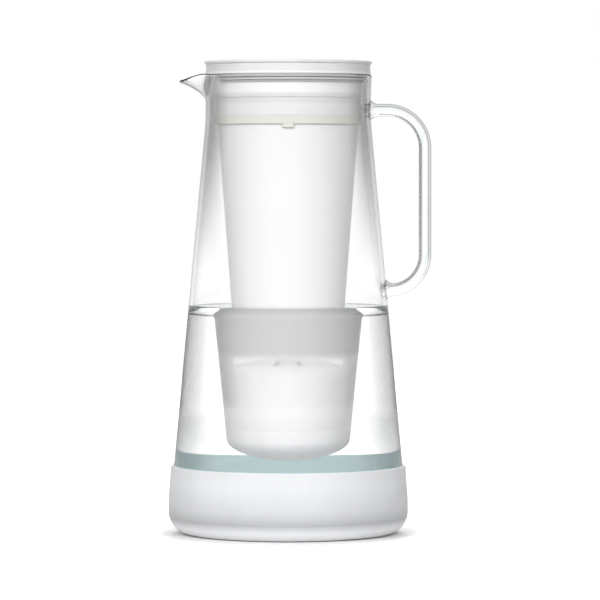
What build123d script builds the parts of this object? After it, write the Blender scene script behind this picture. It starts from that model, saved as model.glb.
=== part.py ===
from build123d import *
from math import atan, cos, pi, radians, sin, sqrt
import os

os.makedirs("parts", exist_ok=True)

# Glass filter jug, standing on its silicone boot. Millimetres, +Z up.
# The origin is the centre of the boot's flat underside, which is the jug's axis.
# The spout points to -X and the handle to +X, so the front of the jug is -Y.

# ---- driving dimensions -------------------------------------------------

# clearances
TOUCH = 0.1          # between pieces that stay together
SEAT = 0.05          # under a piece that rests on another
SLIP = 0.3           # round a piece that moves in another
PIN_PLAY = 0.05      # round the hinge pin in the cover's barrel
PIN_GRIP = 0.02      # round the hinge pin in its fixed ears
PAST = 1.0           # how far a cutter runs past the surface it cuts

# sealing rings of round section
RING_SIZE = 1.2
RING_STAND = 0.15    # how far a ring stands out of its groove

# boot
BOOT_FLOOR = 3.5
BOOT_HEIGHT = 39.0
BOOT_WALL = 1.75
BOOT_CORNER = 12.4
BOOT_BELLY = 0.7     # how far the belly stands outside the jug's cone
BOOT_BELLY_TOP = 17.0
BOOT_GRIP_GROOVES = 3
BOOT_GROOVE_WIDTH = 1.2
BOOT_GROOVE_DEPTH = 0.8
BOOT_GROOVE_PITCH = 12.0
BOOT_GROOVE_FIRST = 24.0

# glass jug
JUG_HEIGHT = 257.6
JUG_BASE_RADIUS = 68.45   # where the cone would meet the base
JUG_CORNER = 12.0
JUG_WALL = 2.2
JUG_FLOOR = 3.5
NECK_RADIUS = 47.0
NECK_DEPTH = 25.6         # rim down to where the cone would meet the neck
NECK_BLEND = 6.0
RIM_FLARE = 0.6

# spout
SPOUT_DEPTH = 15.1        # rim down to where the spout starts
SPOUT_RISE = 0.13         # outward growth, in mm per square mm of height
SPOUT_INSET = 10.0        # middle of the horn's ellipses inside the neck's radius
SPOUT_ROOT_WIDTH = 5.0    # half width of the horn at its root
SPOUT_SPREAD = 0.35       # how fast its half width grows upwards
SPOUT_SECTIONS = 6
SPOUT_STAND = 11.0        # how far the tip stands outside the neck
SPOUT_DROP = 5.7          # rim down to the tip
SPOUT_LIP_RUN = 0.62      # how far the lip still runs out per mm of fall at the tip
SPOUT_BROW_STAND = 2.5    # where the lip leaves the rim's level, outside the neck
SPOUT_WALL_LIFT = 1.8     # how much later the inside of the spout starts

# glass handle
ROD_DIAMETER = 7.1
HANDLE_STANDOFF = 9.45     # the jug's base radius out to the rod's axis
HANDLE_DEPTH = 20.0       # rim down to the upper arm's axis
HANDLE_SPAN = 102.3       # upper arm to lower arm
HANDLE_UPPER_BEND = 21.5
HANDLE_LOWER_BEND = 20.0
WELD_RADIUS = 6.0
WELD_LENGTH = 6.0

# collar that hangs on the rim
COLLAR_PLAY = 3.2         # from the neck's bore in to the collar, where the gasket sits
COLLAR_WALL = 4.0
COLLAR_DEPTH = 23.1       # rim down to the collar's lower edge
FLANGE_THICKNESS = 1.5
BAND_DEPTH = 13.1         # rim down to the sunk band
BAND_HEIGHT = 4.3
BAND_SINK = 0.5
SPIGOT_STEP = 0.4         # spigot inside the reservoir's widest radius
SPIGOT_HEIGHT = 13.0
BEAD_HEIGHT = 1.2
BEAD_STAND = 0.3

# rim gasket and collar seal
GASKET_HEIGHT = 4.4
GASKET_WALL = 1.2
FIN_THICKNESS = 0.8
FIN_PITCH = 1.6
FINS = 2
POUR_ANGLE = 56.0         # gap in the gasket at the spout
SEAL_HEIGHT = 5.0
NUB_WIDTH = 6.0
NUB_DROP = 2.2

# tapered reservoir
SHOULDER_STEP = 1.55      # from the collar's outside in to the reservoir's widest radius
RESERVOIR_END_RADIUS = 27.0
RESERVOIR_LENGTH = 173.1
RESERVOIR_WALL = 1.6

# bayonet cap at the reservoir's lower end
CAP_SKIRT = 6.5
CAP_DOME = 12.1
CAP_WALL = 1.6
CAP_SEAM = 0.15
CAP_RING_LIFT = 1.9       # sealing ring's middle above the reservoir's end
BAYONET_WALL = 2.1        # reservoir's end radius in to the bayonet's bore
BAYONET_LEDGE = 6.1
CAP_SPIGOT_WALL = 1.8     # bayonet's bore in to the cap's own bore
LUGS = 3
LUG_HEIGHT = 1.6
LUG_STAND = 1.0
LUG_ANGLE = 26.0
LUG_EASE = 4.0            # how much wider the entry notch is, in degrees
LUG_TURN = 45.0           # from locked to the entry notch
MESH_THICKNESS = 0.7
MESH_LEDGE = 1.0
OUTLET_HOLES = 8
OUTLET_HOLE_RADIUS = 2.2
OUTLET_CIRCLE = 13.0
MESH_HOLE_RADIUS = 1.2
MESH_RINGS = 3
MESH_PITCH = 6.0

# carbon and resin canister
CANISTER_LIFT = 9.0       # above the reservoir's lower end
CANISTER_HEIGHT = 23.0
CANISTER_WALL = 1.2
CANISTER_FLOOR = 1.5
CANISTER_RISE = 8.0       # the domed cover above the canister's edge
COVER_WALL = 1.4
COVER_PLUG = 1.5
COVER_SLOTS = 10
SLOT_WIDTH = 2.0
SLOT_START = 8.0
SLOT_END = 20.0
FELT_THICKNESS = 1.5
CARBON_SHARE = 0.5        # of the height between the two felts
FLOOR_HOLES = 12
FLOOR_HOLE_RADIUS = 1.5
FLOOR_CIRCLE = 17.0

# divider plate with the membrane's socket
DIVIDER_GAP = 1.5         # over the canister's dome
DIVIDER_THICKNESS = 3.0
DIVIDER_SEAL_SIZE = 1.2
SOCKET_BORE = 6.4
SOCKET_WALL = 2.4
SOCKET_HEIGHT = 8.0
RIBS = 6
RIB_THICKNESS = 1.2
RIB_HEIGHT = 3.0

# membrane cartridge
NOZZLE_BORE = 3.6
NOZZLE_LENGTH = 7.0
HOUSING_RADIUS = 16.0
HOUSING_HEIGHT = 74.0
HOUSING_WALL = 1.4
HOUSING_FLOOR = 2.0
WINDOWS = 10
WINDOW_WIDTH = 4.0
WINDOW_MARGIN = 11.0
POTTING_HEIGHT = 7.0
FIBRE_RINGS = 3
FIBRE_PITCH = 3.9
FIBRE_RADIUS = 0.9
TOP_CAP_HEIGHT = 6.0
TOP_CAP_PLUG = 4.0
TOP_CAP_CHAMFER = 1.0
LOOP_RADIUS = 9.0
LOOP_BAR = 1.6

# lid: a round plate with a plug ring below and a thick rim round a well on top
LID_PLATE = 1.1
LID_PLATE_INSET = 0.1     # plate edge inside the flange's edge
LIP_STAND = 0.7           # lip outside the flange's edge
LIP_HEIGHT = 1.8
LIP_OVERHANG = 1.0
LIP_ROUND = 0.7
LID_RIM_WIDTH = 6.7       # lip's edge in to the well
PLUG_DEPTH = 9.0
PLUG_WALL = 2.0
PLUG_SLIP = 0.4
LID_SEAL_HEIGHT = 2.4
LID_SEAL_SINK = 0.9
FILL_RADIUS = 26.0
FILL_OFFSET = 8.5         # towards the spout
THUMB_RADIUS = 9.0
THUMB_FLOOR = 2.2         # floor of the thumb notch above the plate
THUMB_CENTRE = 36.0

# flip cover, sunk flush in the lid's well
COVER_HEIGHT = 4.9
COVER_ROOF = 1.8
COVER_SKIRT_WALL = 2.0
COVER_GAP = 0.4
COVER_REST = 0.1
GASKET_RING_WALL = 2.0
GASKET_RING_MARGIN = 1.0
GASKET_KEEPER = 1.2
SEAM_X = 24.0             # where the cover ends beside the hinge
BARREL_RADIUS = 2.3
BARREL_HALF = 24.0
PIN_RADIUS = 1.0
PIN_HALF = 29.0

# ---- levels and radii that follow from them -----------------------------

JUG_BASE_Z = BOOT_FLOOR
RIM_Z = JUG_BASE_Z + JUG_HEIGHT
NECK_Z = RIM_Z - NECK_DEPTH
TAPER = (JUG_BASE_RADIUS - NECK_RADIUS) / (NECK_Z - JUG_BASE_Z)
SLANT = atan(TAPER)

SPOUT_CENTRE = NECK_RADIUS - SPOUT_INSET
SPOUT_REACH = NECK_RADIUS + SPOUT_STAND
SPOUT_BROW = NECK_RADIUS + SPOUT_BROW_STAND
HANDLE_REACH = JUG_BASE_RADIUS + HANDLE_STANDOFF

FLANGE_RADIUS = NECK_RADIUS
COLLAR_RADIUS = NECK_RADIUS - JUG_WALL - COLLAR_PLAY
COLLAR_BORE = COLLAR_RADIUS - COLLAR_WALL
FLANGE_Z = RIM_Z + SEAT
FLANGE_TOP = FLANGE_Z + FLANGE_THICKNESS
COLLAR_END = RIM_Z - COLLAR_DEPTH
SHOULDER_Z = COLLAR_END - SEAL_HEIGHT

RESERVOIR_TOP_RADIUS = COLLAR_RADIUS - SHOULDER_STEP
SPIGOT_RADIUS = RESERVOIR_TOP_RADIUS - SPIGOT_STEP
RESERVOIR_END = SHOULDER_Z - RESERVOIR_LENGTH
RESERVOIR_TAPER = (RESERVOIR_TOP_RADIUS - RESERVOIR_END_RADIUS) / RESERVOIR_LENGTH

BAYONET_BORE = RESERVOIR_END_RADIUS - BAYONET_WALL
SPIGOT_BORE = BAYONET_BORE - CAP_SPIGOT_WALL
LEDGE_Z = RESERVOIR_END + BAYONET_LEDGE
CANISTER_Z = RESERVOIR_END + CANISTER_LIFT
CANISTER_TOP = CANISTER_Z + CANISTER_HEIGHT
DIVIDER_Z = CANISTER_TOP + CANISTER_RISE + DIVIDER_GAP
DIVIDER_TOP = DIVIDER_Z + DIVIDER_THICKNESS
SOCKET_TOP = DIVIDER_TOP + SOCKET_HEIGHT

HOUSING_Z = SOCKET_TOP + TOUCH
HOUSING_TOP = HOUSING_Z + HOUSING_HEIGHT

LID_RADIUS = FLANGE_RADIUS + LIP_STAND
WELL_RADIUS = LID_RADIUS - LID_RIM_WIDTH
LID_Z = FLANGE_TOP + SEAT
LID_TOP = LID_Z + LID_PLATE
COVER_Z = LID_TOP + COVER_REST
COVER_TOP = COVER_Z + COVER_HEIGHT
LIP_Z = COVER_TOP - LIP_HEIGHT
ROOF_Z = COVER_TOP - COVER_ROOF
PIN_X = SEAM_X + BARREL_RADIUS + SLIP
PIN_Z = COVER_TOP - BARREL_RADIUS

BASE = (Align.CENTER, Align.CENTER, Align.MIN)


# ---- small helpers ------------------------------------------------------

def at(r, z):
    return (r, 0, z)


def turned(*edges):
    """A solid turned about Z from closed edges in the XZ plane."""
    return revolve(make_face(edges), Axis.Z)


def lathe(*points):
    """A solid turned about Z from the corners (r, z) of its section."""
    return turned(*Polyline(*[at(r, z) for r, z in points], close=True).edges())


def disc(radius, z_low, z_high):
    return Pos(0, 0, z_low) * Cylinder(radius, z_high - z_low, align=BASE)


def ring(r_in, r_out, z_low, z_high):
    return lathe((r_in, z_low), (r_out, z_low), (r_out, z_high), (r_in, z_high))


def block(x0, x1, y0, y1, z0, z1):
    centre = Pos((x0 + x1) / 2, (y0 + y1) / 2, (z0 + z1) / 2)
    return centre * Box(x1 - x0, y1 - y0, z1 - z0)


def wedge(angle, radius, z_low, z_high, facing=0.0):
    """A sector of a disc, centred on the direction facing."""
    half = radians(angle / 2)
    far = radius / cos(half)
    corners = [(0, 0), (far * cos(half), -far * sin(half)), (far * cos(half), far * sin(half))]
    face = make_face(Polyline(*corners, close=True).edges())
    return Rot(0, 0, facing) * Pos(0, 0, z_low) * extrude(face, z_high - z_low)


def o_ring(radius, section, z):
    """A sealing ring of round section, by its inner radius."""
    return Pos(0, 0, z) * Torus(radius + section / 2, section / 2)


def dome_edge(radius, depth, z):
    """A quarter ellipse in the XZ plane, hanging below the level z."""
    arc = EllipticalCenterArc((0, 0), radius, depth, start_angle=270, arc_size=90)
    return Plane.XZ * Pos(0, z) * arc


def jug_radius(z):
    """Outer radius of the jug's cone."""
    return JUG_BASE_RADIUS - TAPER * (z - JUG_BASE_Z)


def reservoir_radius(z):
    """Outer radius of the tapered reservoir."""
    return RESERVOIR_END_RADIUS + RESERVOIR_TAPER * (z - RESERVOIR_END)


def reservoir_bore(z):
    return reservoir_radius(z) - RESERVOIR_WALL


# ---- jug, boot and handle -----------------------------------------------

def cone_corner(inset, floor_z, corner):
    """Centre of the base corner's arc, and where it meets the cone."""
    z = floor_z + corner
    r = jug_radius(z) - (inset + corner) / cos(SLANT)
    meet = at(r + corner * cos(SLANT), z + corner * sin(SLANT))
    middle = (SLANT - pi / 2) / 2
    through = at(r + corner * cos(middle), z + corner * sin(middle))
    return r, through, meet


def vessel(inset, floor_z, corner, top):
    """The jug's body and neck as a full solid, inset from the outside."""
    start, through, meet = cone_corner(inset, floor_z, corner)
    slope = inset / cos(SLANT)
    cone_top = at(jug_radius(NECK_Z - NECK_BLEND) - slope, NECK_Z - NECK_BLEND)
    neck = at(NECK_RADIUS - inset, NECK_Z + NECK_BLEND)
    flare = (RIM_FLARE / (RIM_Z - NECK_Z - NECK_BLEND)) * 2
    rim = at(NECK_RADIUS + RIM_FLARE - inset, RIM_Z)
    return turned(
        Line(at(0, floor_z), at(start, floor_z)),
        ThreePointArc(at(start, floor_z), through, meet),
        Line(meet, cone_top),
        Spline(cone_top, neck, tangents=[(-TAPER, 0, 1), (0, 0, 1)]),
        Spline(neck, rim, tangents=[(0, 0, 1), (flare, 0, 1)]),
        Line(rim, at(rim[0], top)),
        Line(at(rim[0], top), at(0, top)),
        Line(at(0, top), at(0, floor_z)),
    )


def spout_horn(inset, lift, top):
    """The pouring lip's swelling, lofted through ellipses that grow upwards."""
    start = RIM_Z - SPOUT_DEPTH
    sections = []
    for k in range(SPOUT_SECTIONS):
        climb = (top - start) * k / (SPOUT_SECTIONS - 1)
        reach = NECK_RADIUS + SPOUT_RISE * max(0.0, climb - lift) ** 2 - inset
        long_half = reach - SPOUT_CENTRE
        wide_half = SPOUT_ROOT_WIDTH + SPOUT_SPREAD * climb - inset
        centre = Pos(-SPOUT_CENTRE, 0, start + climb)
        sections.append(centre * Ellipse(long_half, wide_half))
    return loft(sections)


def spout_trim():
    """What lies above the rim, and above the lip that dips to the spout's tip."""
    tip = (-SPOUT_REACH, RIM_Z - SPOUT_DROP)
    far = 3 * SPOUT_REACH
    brow = at(-SPOUT_BROW, RIM_Z)
    lip = Spline(brow, at(*tip), tangents=[(-1, 0, 0), (-SPOUT_LIP_RUN, 0, -1)])
    over = RIM_Z + far
    outline = [
        Line(at(far, RIM_Z), brow),
        lip,
        Line(at(*tip), at(-far, RIM_Z - SPOUT_DROP)),
        Line(at(-far, RIM_Z - SPOUT_DROP), at(-far, over)),
        Line(at(-far, over), at(far, over)),
        Line(at(far, over), at(far, RIM_Z)),
    ]
    return extrude(make_face(outline), far, both=True)


def glass_jug():
    top = RIM_Z + PAST
    outside = vessel(0, JUG_BASE_Z, JUG_CORNER, top) + spout_horn(0, 0, top)
    inside = vessel(JUG_WALL, JUG_BASE_Z + JUG_FLOOR, JUG_CORNER - JUG_WALL, top + PAST)
    channel = spout_horn(JUG_WALL, SPOUT_WALL_LIFT, top + PAST)
    return outside - inside - channel - spout_trim()


def base_boot():
    flat = jug_radius(BOOT_CORNER) + BOOT_BELLY - BOOT_CORNER
    belly = flat + BOOT_CORNER
    rim_in = jug_radius(BOOT_HEIGHT) + TOUCH
    rim_out = rim_in + BOOT_WALL
    rim_round = BOOT_WALL / 2
    rim_z = BOOT_HEIGHT - rim_round
    diagonal = BOOT_CORNER * (1 - sqrt(0.5))
    outside = turned(
        Line(at(0, 0), at(flat, 0)),
        ThreePointArc(at(flat, 0), at(belly - diagonal, diagonal), at(belly, BOOT_CORNER)),
        Line(at(belly, BOOT_CORNER), at(belly, BOOT_BELLY_TOP)),
        Spline(at(belly, BOOT_BELLY_TOP), at(rim_out, rim_z), tangents=[(0, 0, 1), (0, 0, 1)]),
        ThreePointArc(at(rim_out, rim_z), at(rim_out - rim_round, BOOT_HEIGHT), at(rim_in, rim_z)),
        Line(at(rim_in, rim_z), at(0, rim_z)),
        Line(at(0, rim_z), at(0, 0)),
    )
    boot = outside - vessel(-TOUCH, JUG_BASE_Z, JUG_CORNER, RIM_Z + PAST)
    for k in range(BOOT_GRIP_GROOVES):
        r = BOOT_GROOVE_FIRST + k * BOOT_GROOVE_PITCH
        boot -= ring(r, r + BOOT_GROOVE_WIDTH, -1, BOOT_GROOVE_DEPTH)
    return boot


def weld(z):
    """The flared root of a handle arm, where the rod is fused to the wall."""
    rod = ROD_DIAMETER / 2
    start = jug_radius(z) - JUG_WALL
    tip = jug_radius(z) + WELD_LENGTH
    outline = [
        Line((start, 0, z), (start, 0, z + WELD_RADIUS)),
        Spline(
            (start, 0, z + WELD_RADIUS),
            (tip, 0, z + rod),
            tangents=[(1, 0, -1), (1, 0, 0)],
        ),
        Line((tip, 0, z + rod), (tip, 0, z)),
        Line((tip, 0, z), (start, 0, z)),
    ]
    return revolve(make_face(outline), Axis((0, 0, z), (1, 0, 0)))


def glass_handle():
    upper = RIM_Z - HANDLE_DEPTH
    lower = upper - HANDLE_SPAN
    start = (jug_radius(upper) - JUG_WALL, 0, upper)
    end = (jug_radius(lower) - JUG_WALL, 0, lower)
    upper_bend = min(HANDLE_UPPER_BEND, HANDLE_REACH - jug_radius(upper))
    lower_bend = min(HANDLE_LOWER_BEND, HANDLE_REACH - jug_radius(lower))
    corners = [start, (HANDLE_REACH, 0, upper), (HANDLE_REACH, 0, lower), end]
    path = FilletPolyline(*corners, radius=[upper_bend, lower_bend])
    rod = sweep(Plane(start, z_dir=(1, 0, 0)) * Circle(ROD_DIAMETER / 2), path)
    return rod + weld(upper) + weld(lower) - vessel(0, JUG_BASE_Z, JUG_CORNER, RIM_Z + PAST)


# ---- collar, seals and reservoir ----------------------------------------

def collar():
    body = ring(COLLAR_BORE, COLLAR_RADIUS, COLLAR_END, FLANGE_TOP)
    body += ring(COLLAR_BORE, FLANGE_RADIUS, FLANGE_Z, FLANGE_TOP)
    band = RIM_Z - BAND_DEPTH
    body -= ring(COLLAR_RADIUS - BAND_SINK, FLANGE_RADIUS, band - BAND_HEIGHT, band)
    spigot_top = SHOULDER_Z + SPIGOT_HEIGHT + TOUCH
    body -= disc(SPIGOT_RADIUS + TOUCH, COLLAR_END, spigot_top)
    bead = SHOULDER_Z + SPIGOT_HEIGHT - 2 * BEAD_HEIGHT
    body -= disc(SPIGOT_RADIUS + BEAD_STAND + TOUCH, bead - TOUCH, bead + BEAD_HEIGHT + TOUCH)
    return body


def rim_gasket():
    top = FLANGE_Z - TOUCH / 2
    inner = COLLAR_RADIUS + TOUCH
    gasket = ring(inner, inner + GASKET_WALL, top - GASKET_HEIGHT, top)
    reach = NECK_RADIUS + RIM_FLARE / 2 - JUG_WALL - SLIP
    for k in range(FINS):
        z = top - FIN_THICKNESS - k * FIN_PITCH
        gasket += ring(inner, reach, z - FIN_THICKNESS, z)
    gap = wedge(POUR_ANGLE, FLANGE_RADIUS, top - GASKET_HEIGHT - PAST, top + PAST, facing=180)
    return gasket - gap


def collar_seal():
    seal = ring(SPIGOT_RADIUS + TOUCH, COLLAR_RADIUS, SHOULDER_Z, COLLAR_END)
    front = COLLAR_RADIUS - TOUCH
    back = reservoir_radius(SHOULDER_Z) + TOUCH
    low = SHOULDER_Z - NUB_DROP
    nub = block(-NUB_WIDTH / 2, NUB_WIDTH / 2, -front, -back, low, SHOULDER_Z + PAST)
    return seal + nub


def reservoir():
    end, top = RESERVOIR_END, SHOULDER_Z
    spigot_top = top + SPIGOT_HEIGHT
    mouth = reservoir_bore(top)
    cup = lathe(
        (RESERVOIR_END_RADIUS, end),
        (RESERVOIR_TOP_RADIUS, top),
        (SPIGOT_RADIUS, top),
        (SPIGOT_RADIUS, spigot_top),
        (mouth, spigot_top),
        (mouth, top),
        (reservoir_bore(LEDGE_Z), LEDGE_Z),
        (BAYONET_BORE, LEDGE_Z),
        (BAYONET_BORE, end),
    )
    bead = spigot_top - 2 * BEAD_HEIGHT
    cup += ring(SPIGOT_RADIUS - PAST, SPIGOT_RADIUS + BEAD_STAND, bead, bead + BEAD_HEIGHT)
    notch_reach = BAYONET_BORE - SLIP + LUG_STAND + SLIP
    notches = disc(notch_reach, end - PAST, LEDGE_Z + PAST)
    for k in range(LUGS):
        facing = 90 + LUG_TURN + 360 * k / LUGS
        cup -= notches & wedge(LUG_ANGLE + LUG_EASE, 2 * notch_reach, end - PAST, LEDGE_Z + PAST, facing)
    return cup


# ---- bayonet cap --------------------------------------------------------

def bottom_cap():
    top = RESERVOIR_END - CAP_SEAM
    edge = top - CAP_SKIRT
    radius = reservoir_radius(edge)
    spigot = BAYONET_BORE - SLIP - RING_STAND
    spigot_top = LEDGE_Z + SLIP + LUG_HEIGHT
    dome_bore = SPIGOT_BORE - MESH_LEDGE
    outside = turned(
        dome_edge(radius, CAP_DOME, edge),
        Line(at(radius, edge), at(reservoir_radius(top), top)),
        Line(at(reservoir_radius(top), top), at(spigot, top)),
        Line(at(spigot, top), at(spigot, spigot_top)),
        Line(at(spigot, spigot_top), at(0, spigot_top)),
        Line(at(0, spigot_top), at(0, edge - CAP_DOME)),
    )
    inside = turned(
        dome_edge(dome_bore, CAP_DOME - CAP_WALL, edge),
        Line(at(dome_bore, edge), at(SPIGOT_BORE, edge)),
        Line(at(SPIGOT_BORE, edge), at(SPIGOT_BORE, spigot_top + PAST)),
        Line(at(SPIGOT_BORE, spigot_top + PAST), at(0, spigot_top + PAST)),
        Line(at(0, spigot_top + PAST), at(0, edge - CAP_DOME + CAP_WALL)),
    )
    cap = outside - inside
    lug_ring = ring(spigot - PAST, spigot + LUG_STAND, spigot_top - LUG_HEIGHT, spigot_top)
    for k in range(LUGS):
        facing = 90 + 360 * k / LUGS
        cap += lug_ring & wedge(LUG_ANGLE, 2 * spigot, LEDGE_Z, spigot_top + PAST, facing)
    middle = RESERVOIR_END + CAP_RING_LIFT
    half = RING_SIZE / 2 + TOUCH
    cap -= ring(spigot - RING_SIZE, spigot + PAST, middle - half, middle + half)
    for place in PolarLocations(OUTLET_CIRCLE, OUTLET_HOLES):
        cap -= place * disc(OUTLET_HOLE_RADIUS, edge - 2 * CAP_DOME, edge)
    cap -= disc(OUTLET_HOLE_RADIUS, edge - 2 * CAP_DOME, edge)
    return cap


def cap_o_ring():
    return o_ring(BAYONET_BORE - SLIP - RING_SIZE, RING_SIZE, RESERVOIR_END + CAP_RING_LIFT)


def outlet_mesh():
    """A fine strainer disc that lies on the cap's inner ledge."""
    low = RESERVOIR_END - CAP_SEAM - CAP_SKIRT
    mesh = disc(SPIGOT_BORE - TOUCH, low, low + MESH_THICKNESS)
    hole = disc(MESH_HOLE_RADIUS, low - PAST, low + MESH_THICKNESS + PAST)
    mesh -= hole
    for k in range(1, MESH_RINGS + 1):
        for place in PolarLocations(k * MESH_PITCH, 6 * k):
            mesh -= place * hole
    return mesh


# ---- carbon and resin canister ------------------------------------------

def canister_radius(z):
    return reservoir_bore(z) - TOUCH


def canister_bore(z):
    return canister_radius(z) - CANISTER_WALL


def carbon_canister():
    floor_top = CANISTER_Z + CANISTER_FLOOR
    shell = lathe(
        (0, CANISTER_Z),
        (canister_radius(CANISTER_Z), CANISTER_Z),
        (canister_radius(CANISTER_TOP), CANISTER_TOP),
        (canister_bore(CANISTER_TOP), CANISTER_TOP),
        (canister_bore(floor_top), floor_top),
        (0, floor_top),
    )
    hole = disc(FLOOR_HOLE_RADIUS, CANISTER_Z - PAST, floor_top + PAST)
    shell -= hole
    for circle, count in ((FLOOR_CIRCLE, FLOOR_HOLES), (FLOOR_CIRCLE / 2, FLOOR_HOLES // 2)):
        for place in PolarLocations(circle, count):
            shell -= place * hole
    return shell


def filling(z_low, z_high):
    """A bed that fills the canister between two levels."""
    return lathe(
        (0, z_low),
        (canister_bore(z_low) - TOUCH, z_low),
        (canister_bore(z_high) - TOUCH, z_high),
        (0, z_high),
    )


def canister_fillings():
    """The felts and the two beds, from the canister's floor upwards."""
    floor_top = CANISTER_Z + CANISTER_FLOOR
    bed_low = floor_top + FELT_THICKNESS
    bed_high = CANISTER_TOP - COVER_PLUG - FELT_THICKNESS
    split = bed_low + CARBON_SHARE * (bed_high - bed_low)
    return {
        "lower_felt": filling(floor_top, bed_low),
        "carbon_media": filling(bed_low, split),
        "ion_resin": filling(split, bed_high),
        "upper_felt": filling(bed_high, bed_high + FELT_THICKNESS),
    }


def dome(radius, rise, z):
    """A full spherical cap standing on the level z."""
    sphere = (radius ** 2 + rise ** 2) / (2 * rise)
    half_way = atan(radius / (sphere - rise)) / 2
    through = at(sphere * sin(half_way), z + rise - sphere * (1 - cos(half_way)))
    return turned(
        Line(at(0, z), at(radius, z)),
        ThreePointArc(at(radius, z), through, at(0, z + rise)),
        Line(at(0, z + rise), at(0, z)),
    )


def carbon_cover():
    radius = canister_radius(CANISTER_TOP)
    inner = radius - CANISTER_WALL - 2 * COVER_WALL
    cover = dome(radius, CANISTER_RISE, CANISTER_TOP)
    plug_z = CANISTER_TOP - COVER_PLUG
    plug = canister_bore(plug_z) - TOUCH
    cover += disc(plug, plug_z, CANISTER_TOP)
    cover -= dome(inner, CANISTER_RISE - COVER_WALL, CANISTER_TOP)
    cover -= disc(inner, plug_z - PAST, CANISTER_TOP)
    apex = CANISTER_TOP + CANISTER_RISE
    half = SLOT_WIDTH / 2
    slot = block(SLOT_START, SLOT_END, -half, half, CANISTER_TOP, apex + PAST)
    for k in range(COVER_SLOTS):
        cover -= Rot(0, 0, 360 * k / COVER_SLOTS) * slot
    return cover


# ---- divider plate and membrane cartridge -------------------------------

def divider_plate():
    low_radius = reservoir_bore(DIVIDER_Z) - TOUCH
    high_radius = reservoir_bore(DIVIDER_TOP) - TOUCH
    plate = lathe(
        (0, DIVIDER_Z),
        (low_radius, DIVIDER_Z),
        (high_radius, DIVIDER_TOP),
        (0, DIVIDER_TOP),
    )
    plate += disc(SOCKET_BORE + SOCKET_WALL, DIVIDER_TOP, SOCKET_TOP)
    rib_end = low_radius - DIVIDER_SEAL_SIZE
    half = RIB_THICKNESS / 2
    rib = block(0, rib_end, -half, half, DIVIDER_TOP, DIVIDER_TOP + RIB_HEIGHT)
    for k in range(RIBS):
        plate += Rot(0, 0, 360 * (k + 0.5) / RIBS) * rib
    plate -= disc(SOCKET_BORE, DIVIDER_TOP, SOCKET_TOP + PAST)
    plate -= disc(NOZZLE_BORE, DIVIDER_Z - PAST, DIVIDER_TOP + PAST)
    middle = (DIVIDER_Z + DIVIDER_TOP) / 2
    half = DIVIDER_SEAL_SIZE / 2 + TOUCH
    bottom = low_radius - DIVIDER_SEAL_SIZE - TOUCH
    return plate - ring(bottom, high_radius + PAST, middle - half, middle + half)


def divider_seal():
    middle = (DIVIDER_Z + DIVIDER_TOP) / 2
    outer = reservoir_bore(middle) - TOUCH
    return o_ring(outer - DIVIDER_SEAL_SIZE, DIVIDER_SEAL_SIZE, middle)


def nozzle_groove():
    """Inner radius and level of the nozzle's sealing ring."""
    return SOCKET_BORE - SLIP - RING_SIZE, HOUSING_Z - NOZZLE_LENGTH / 2


def membrane_housing():
    bore = HOUSING_RADIUS - HOUSING_WALL
    nozzle = SOCKET_BORE - SLIP - RING_STAND
    shell = disc(HOUSING_RADIUS, HOUSING_Z, HOUSING_TOP)
    shell -= disc(bore, HOUSING_Z + HOUSING_FLOOR, HOUSING_TOP + PAST)
    shell += disc(nozzle, HOUSING_Z - NOZZLE_LENGTH, HOUSING_Z)
    shell -= disc(NOZZLE_BORE, HOUSING_Z - NOZZLE_LENGTH - PAST, HOUSING_Z + HOUSING_FLOOR + PAST)
    groove, groove_z = nozzle_groove()
    half = RING_SIZE / 2 + TOUCH
    shell -= ring(groove - TOUCH, nozzle + PAST, groove_z - half, groove_z + half)
    half = WINDOW_WIDTH / 2
    low, high = HOUSING_Z + WINDOW_MARGIN, HOUSING_TOP - WINDOW_MARGIN
    window = block(0, HOUSING_RADIUS + PAST, -half, half, low, high)
    for k in range(WINDOWS):
        shell -= Rot(0, 0, 360 * k / WINDOWS) * window
    return shell


def nozzle_o_ring():
    inner, z = nozzle_groove()
    return o_ring(inner, RING_SIZE, z)


def fibre_potting():
    low = HOUSING_Z + HOUSING_FLOOR
    return disc(HOUSING_RADIUS - HOUSING_WALL - TOUCH, low, low + POTTING_HEIGHT)


def membrane_fibres():
    low = HOUSING_Z + HOUSING_FLOOR + POTTING_HEIGHT
    fibre = disc(FIBRE_RADIUS, low, HOUSING_TOP - TOP_CAP_PLUG)
    fibres = [fibre]
    for k in range(1, FIBRE_RINGS + 1):
        fibres += [place * fibre for place in PolarLocations(k * FIBRE_PITCH, 6 * k)]
    return Compound(fibres)


def membrane_cap():
    top = HOUSING_TOP + TOP_CAP_HEIGHT
    cap = disc(HOUSING_RADIUS, HOUSING_TOP, top)
    cap = chamfer(cap.edges().group_by(Axis.Z)[-1], TOP_CAP_CHAMFER)
    cap += disc(HOUSING_RADIUS - HOUSING_WALL - TOUCH, HOUSING_TOP - TOP_CAP_PLUG, HOUSING_TOP)
    loop = Pos(0, 0, top) * Rot(90, 0, 0) * Torus(LOOP_RADIUS, LOOP_BAR)
    reach = LOOP_RADIUS + LOOP_BAR + 1
    return cap + (loop & block(-reach, reach, -reach, reach, top - PAST, top + reach))


# ---- bodies of the lid --------------------------------------------------

def plug_radius():
    return COLLAR_BORE - PLUG_SLIP


def lid_rim():
    """The lid's full round top with its overhanging lip, before the well is cut."""
    lip = disc(LID_RADIUS, LIP_Z, COVER_TOP)
    lip = fillet(lip.edges().filter_by(GeomType.CIRCLE), LIP_ROUND)
    return lip + disc(LID_RADIUS - LIP_OVERHANG, LID_TOP, LIP_Z + LIP_ROUND)


def hinge_bore(radius, y_low, y_high):
    rod = Cylinder(radius, y_high - y_low, align=BASE)
    return Pos(PIN_X, y_high, PIN_Z) * Rot(90, 0, 0) * rod


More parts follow.
